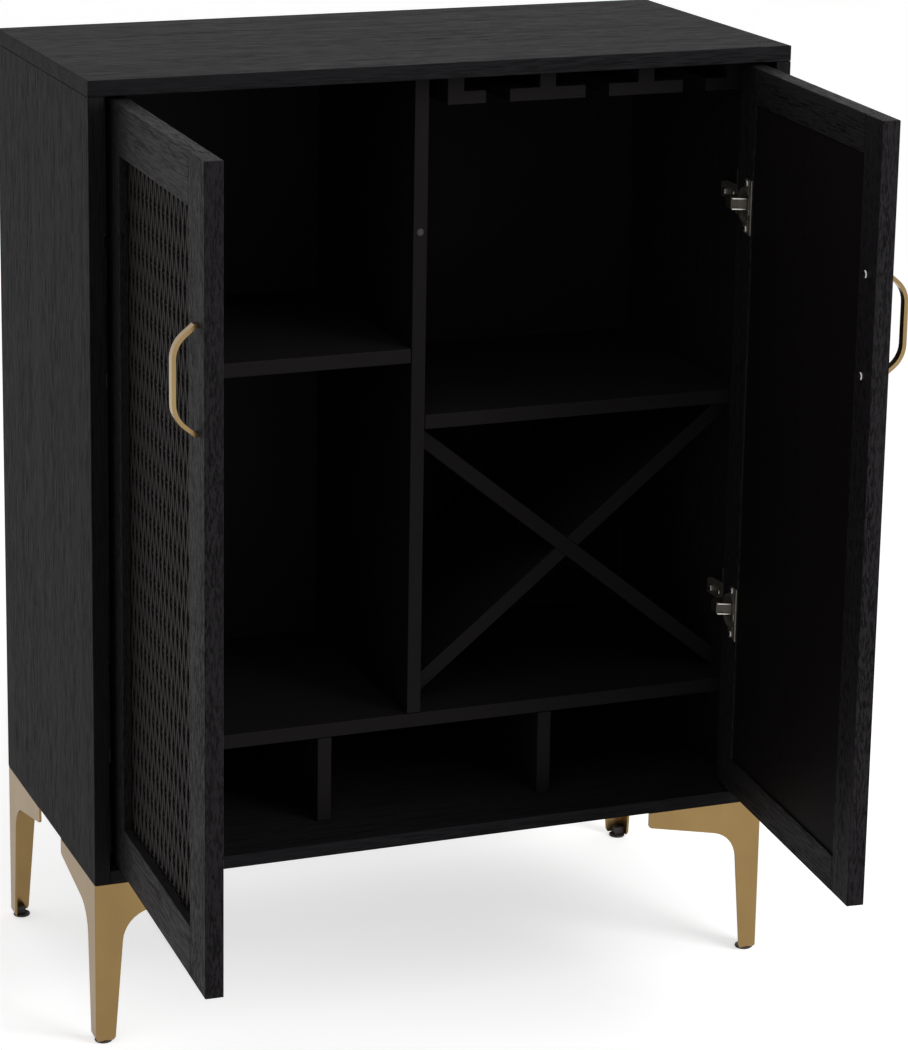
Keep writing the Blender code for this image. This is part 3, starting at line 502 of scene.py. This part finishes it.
def hinge_fittings(door, level, bright, dull, screws):
    """What the CAD leaves out of a hinge: the sheet round the arm, the cup's flange and the screws."""
    stem = f"{door.name}_{level}_hinge"
    hand = door.hand
    plate_low, plate_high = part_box(stem + "_plate")
    arm_low, arm_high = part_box(stem + "_arm")
    middle = (plate_low + plate_high) / 2
    wall_x = plate_low.x if hand > 0 else plate_high.x
    facing = Matrix.Rotation(math.radians(90.0) * hand, 4, "Y")

    shape = bmesh.new()
    front, rear = arm_high.y - ARM_TAIL - CHANNEL_LEAD, arm_high.y + CHANNEL_TAIL
    low_x, high_x = sorted((wall_x + hand * CHANNEL_ROOT, wall_x + hand * CHANNEL_FACE))
    block(shape, (low_x, front, middle.z - CHANNEL_HALF), (high_x, rear, middle.z + CHANNEL_HALF))
    open_sides = [f for f in shape.faces if abs(f.normal.y) > ALONG_AXIS or f.normal.x * hand < -ALONG_AXIS]
    bmesh.ops.delete(shape, geom=open_sides, context="FACES_ONLY")
    folds = [e for e in shape.edges if len(e.link_faces) == 2]
    soften(shape, folds, CHANNEL_FOLD, CHANNEL_FOLD_SEGMENTS)
    channel = add_piece(stem + "_arm_channel", shape, dull, "cabinet")
    sheet = channel.modifiers.new("sheet", "SOLIDIFY")
    sheet.thickness = CHANNEL_SHEET
    sheet.offset = -1.0

    shape = bmesh.new()
    xs = sorted((hand * RIM_START, hand * math.hypot(ARM_REACH, ARM_SHOULDER)))
    for edge_z, inward in ((arm_high.z, -1), (arm_low.z, 1)):
        zs = sorted((edge_z, edge_z + inward * FLANGE))
        block(shape, (xs[0], -ARM_THICKNESS / 2 - FLANGE_DEPTH, zs[0]), (xs[1], -ARM_THICKNESS / 2, zs[1]))
    soften(shape, shape.edges[:], FLANGE / 3, 2)
    neck_turn = Matrix.Rotation(hand * math.atan2(ARM_NECK_RISE, ARM_NECK), 4, "Z")
    neck = Matrix.Translation(door.pole) @ neck_turn
    # The flanges take the lighter nickel: a painted highlight along the arm's top and bottom edges.
    add_piece(stem + "_arm_flanges", shape, bright, "cabinet", neck)

    shape = bmesh.new()
    for side in (-1, 1):
        z = middle.z + side * WING_SCREW_SPACING / 2
        place = Vector((wall_x + hand * WING_THICKNESS, middle.y, z))
        screw_head(shape, WING_SCREW, place, facing)
    for share, radius, drop in CHANNEL_SCREWS:
        place = Vector((wall_x + hand * CHANNEL_FACE, rear + (front - rear) * share, middle.z - drop))
        screw_head(shape, (radius, CHANNEL_SCREW_HEIGHT, radius * CHANNEL_CROSS_SHARE), place, facing)
    add_piece(stem + "_plate_screws", shape, screws, "cabinet")

    cup_low, cup_high = local_box(stem + "_cup", door.space)
    cup_z = (cup_low.z + cup_high.z) / 2
    face_y = cup_high.y - CUP_RIM
    half = (cup_high.z - cup_low.z) / 2
    shape = bmesh.new()
    for side in (-1, 1):
        zs = sorted((cup_z + side * half * FLANGE_START_SHARE, cup_z + side * (half - FLANGE / 2)))
        xs = sorted(hand * (reach - POLE_INSET) for reach in (EARS_REACH - FLANGE, CUP_REACH))
        block(shape, (xs[0], face_y, zs[0]), (xs[1], face_y + FLANGE, zs[1]))
    xs = sorted(hand * (reach - POLE_INSET) for reach in (CUP_REACH - FLANGE, CUP_REACH + FLANGE / 2))
    block(shape, (xs[0], face_y, cup_z - half), (xs[1], face_y + CUP_RIM, cup_z + half))
    soften(shape, shape.edges[:], FLANGE / 4, 1)
    add_piece(stem + "_cup_flange", shape, dull, door.name, door.space)

    shape = bmesh.new()
    out = Matrix.Rotation(math.radians(-90.0), 4, "X")
    for side in (-1, 1):
        ear_x = hand * (EAR_SCREW_REACH - POLE_INSET)
        place = Vector((ear_x, face_y + FLANGE, cup_z + side * EAR_SCREW_SPACING / 2))
        screw_head(shape, EAR_SCREW, place, out)
    add_piece(stem + "_cup_screws", shape, screws, door.name, door.space)


def leg_screws(leg, screws):
    """Three screws through the flange that the leg hangs from."""
    low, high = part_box(leg)
    corner_x, inward_x = (low.x, 1) if "left" in leg else (high.x, -1)
    corner_y, inward_y = (low.y, 1) if leg.startswith("front") else (high.y, -1)
    down = Matrix.Rotation(math.radians(180.0), 4, "X")
    shape = bmesh.new()
    for across, along in LEG_SCREW_PLACES:
        place = Vector((corner_x + inward_x * across, corner_y + inward_y * along, high.z - LEG_SHEET))
        screw_head(shape, LEG_SCREW, place, down)
    add_piece(leg + "_screws", shape, screws, "cabinet")


def cover_cap(material):
    """The small cap over a fitting in the divider's front edge."""
    low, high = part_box("divider")
    out = Matrix.Rotation(math.radians(90.0), 4, "X")
    shape = bmesh.new()
    made = bmesh.ops.create_cone(shape, cap_ends=True, segments=CAP_SIDES, radius1=CAP_RADIUS,
                                 radius2=CAP_RADIUS * CAP_TOP_SHARE, depth=CAP_HEIGHT)["verts"]
    bmesh.ops.translate(shape, verts=made, vec=(0.0, 0.0, CAP_HEIGHT / 2))
    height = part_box("left_side")[0].z + CAP_ABOVE_CARCASS_FOOT
    place = Matrix.Translation(((low.x + high.x) / 2, low.y, height))
    bmesh.ops.transform(shape, matrix=place @ out, verts=made)
    add_piece("divider_cover_cap", shape, material, "cabinet")


def seen_rays(tree):
    """One for camera, glossy and transmission rays, and zero for the rays that light the object."""
    rays = node(tree, "ShaderNodeLightPath")
    first = node(tree, "ShaderNodeMath", {"operation": "MAXIMUM"}, {},
                 {0: rays.outputs["Is Camera Ray"], 1: rays.outputs["Is Glossy Ray"]})
    return node(tree, "ShaderNodeMath", {"operation": "MAXIMUM"}, {},
                {0: first.outputs["Value"], 1: rays.outputs["Is Transmission Ray"]})


def build_floor():
    """A pale floor that keeps the shadow and glows a little, so that it meets the white background."""
    shape = bmesh.new()
    bmesh.ops.create_grid(shape, x_segments=1, y_segments=1, size=FLOOR_HALF)
    mesh = bpy.data.meshes.new("floor")
    shape.to_mesh(mesh)
    shape.free()
    floor = bpy.data.objects.new("floor", mesh)
    bpy.context.scene.collection.objects.link(floor)
    material, tree, shader = new_material("pale_studio_floor")
    shader.inputs["Base Color"].default_value = linear("#e6e6e6")
    shader.inputs["Roughness"].default_value = 0.9
    shader.inputs["Specular IOR Level"].default_value = 0.0
    seen = seen_rays(tree)
    level = node(tree, "ShaderNodeMath", {"operation": "MULTIPLY"}, {1: FLOOR_GLOW},
                 {0: seen.outputs["Value"]})
    glow = node(tree, "ShaderNodeEmission", {}, {"Color": (1, 1, 1, 1)}, {"Strength": level.outputs["Value"]})
    both = node(tree, "ShaderNodeAddShader", {}, {}, {0: shader.outputs["BSDF"], 1: glow.outputs["Emission"]})
    tree.links.new(both.outputs["Shader"], tree.nodes["Material Output"].inputs["Surface"])
    mesh.materials.append(material)


def build_light():
    """A white background, a dimmer one for the rays that light the object, and two soft lamps."""
    scene = bpy.context.scene
    world = bpy.data.worlds.new("studio")
    scene.world = world
    world.use_nodes = True
    tree = world.node_tree
    seen = seen_rays(tree)
    strength = node(tree, "ShaderNodeMapRange", {}, {"To Min": WORLD_LIGHT, "To Max": WORLD_SEEN},
                    {"Value": seen.outputs["Value"]})
    back = tree.nodes["Background"]
    back.inputs["Color"].default_value = (1.0, 1.0, 1.0, 1.0)
    tree.links.new(strength.outputs["Result"], back.inputs["Strength"])
    for name, place, size, power in LAMPS:
        lamp = bpy.data.lights.new(name, "AREA")
        lamp.shape = "SQUARE"
        lamp.size = size
        lamp.energy = power
        holder = bpy.data.objects.new(name, lamp)
        holder.location = place
        aim = Vector(LAMP_TARGET) - Vector(place)
        holder.rotation_euler = aim.to_track_quat("-Z", "Y").to_euler()
        scene.collection.objects.link(holder)


def build_camera():
    """The photograph's view: turned right, tilted down, and shifted as the photograph is cropped."""
    data = bpy.data.cameras.new("photo_camera")
    long_side = max(IMAGE_WIDTH, IMAGE_HEIGHT)
    data.sensor_width = SENSOR_MM
    data.lens = FOCAL_PIXELS * SENSOR_MM / long_side
    data.shift_x = (IMAGE_WIDTH / 2 - PRINCIPAL_PIXEL[0]) / long_side
    data.shift_y = (PRINCIPAL_PIXEL[1] - IMAGE_HEIGHT / 2) / long_side
    camera = bpy.data.objects.new("photo_camera", data)
    turn = Matrix.Rotation(-math.radians(CAMERA_TURN_DEGREES), 4, "Z")
    tilt = Matrix.Rotation(math.radians(90.0 + CAMERA_TILT_DEGREES), 4, "X")
    roll = Matrix.Rotation(math.radians(CAMERA_ROLL_DEGREES), 4, "Z")
    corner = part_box("left_side")[0]
    place = Vector((corner.x, corner.y, 0.0)) + Vector(CAMERA_FROM_CORNER)
    camera.matrix_world = Matrix.Translation(place) @ turn @ tilt @ roll
    bpy.context.scene.collection.objects.link(camera)
    bpy.context.scene.camera = camera
    bpy.context.scene.view_settings.view_transform = "Standard"


def dress(node_name, material):
    """Gives a CAD node its material and leaves its shape alone."""
    mesh = frame["nodes"][node_name].data
    mesh.materials.clear()
    mesh.materials.append(material)


def build_looks():
    upright = stained_veneer("black_ash_veneer_upright", "Z")
    lengthwise = stained_veneer("black_ash_veneer_lengthwise", "X")
    inside_flat = black_laminate("black_laminate_flat", "X")
    inside_upright = black_laminate("black_laminate_upright", "Z")
    back = black_laminate("black_back_board", "Z", "#130f0f")
    gold = champagne_plate("champagne_gold_legs", "#957b50", 0.26, 0.40)
    bright_gold = champagne_plate("champagne_gold_handles", "#9c855e", 0.18, 0.30)
    # The edge nickel is the hinges' one plating painted lighter: a painted highlight on the arm flanges.
    painted_highlight_nickel = plated_steel("nickel_plated_edges", "#dcd9d0", 0.34)
    # The arm nickel is the same plating painted darker: painted shade on the hinge arms.
    painted_shade_arm_nickel = plated_steel("nickel_plated_arms_painted_shade", "#4f4c46", 0.46)
    dull_nickel = plated_steel("nickel_plated_hinge_bodies", "#8f8b80", 0.42)
    zinc = plated_steel("zinc_plated_screws", "#b4b3b0", 0.20)
    plastic = moulded_plastic("brown_glide_plastic", "#1d1611")
    cane = lacquered_cane("black_lacquered_cane")

    for name in ("left_side", "right_side"):
        dress(name, upright)
    for name in ("top_board", "bottom_board"):
        dress(name, lengthwise)
    dress("back_board", back)
    for name in ("divider", "left_cubby_divider", "right_cubby_divider"):
        dress(name, inside_upright)
    for name in frame["nodes"]:
        if "shelf" in name or name.startswith(("stemware", "wine_cross")):
            dress(name, inside_flat)
        elif name.endswith("_leg"):
            dress(name, gold)
            leg_screws(name, zinc)
        elif name.endswith("_foot_pad"):
            dress(name, plastic)
        elif name.endswith("_handle"):
            dress(name, bright_gold)
        elif "_handle_screw_" in name:
            dress(name, zinc)
        elif name.endswith("_arm"):
            dress(name, painted_shade_arm_nickel)
        elif name.endswith(("_cup", "_pin", "_plate")):
            dress(name, dull_nickel)
    cover_cap(plastic)
    for door in DOORS:
        stile = stained_veneer(door.name + "_stile_veneer", "Z", door.turn, DOOR_TONES, STILE_PORE,
                               DOOR_RELIEF, DOOR_SPECULAR)
        rail = stained_veneer(door.name + "_rail_veneer", "X", door.turn, DOOR_TONES, RAIL_PORE,
                              DOOR_RELIEF, DOOR_SPECULAR)
        for side in ("hinge", "free"):
            dress(f"{door.name}_{side}_stile", stile)
        dress(door.name + "_top_rail", rail)
        dress(door.name + "_bottom_rail", rail)
        dress(door.name + "_back_panel", crown_cut_veneer(door.name + "_crown_cut_veneer", door))
        woven_cane(door, cane)
        for level in ("upper", "lower"):
            hinge_fittings(door, level, painted_highlight_nickel, dull_nickel, zinc)


DOORS = [Door("left_door", 1), Door("right_door", -1)]
build_camera()
build_light()
build_floor()
build_looks()
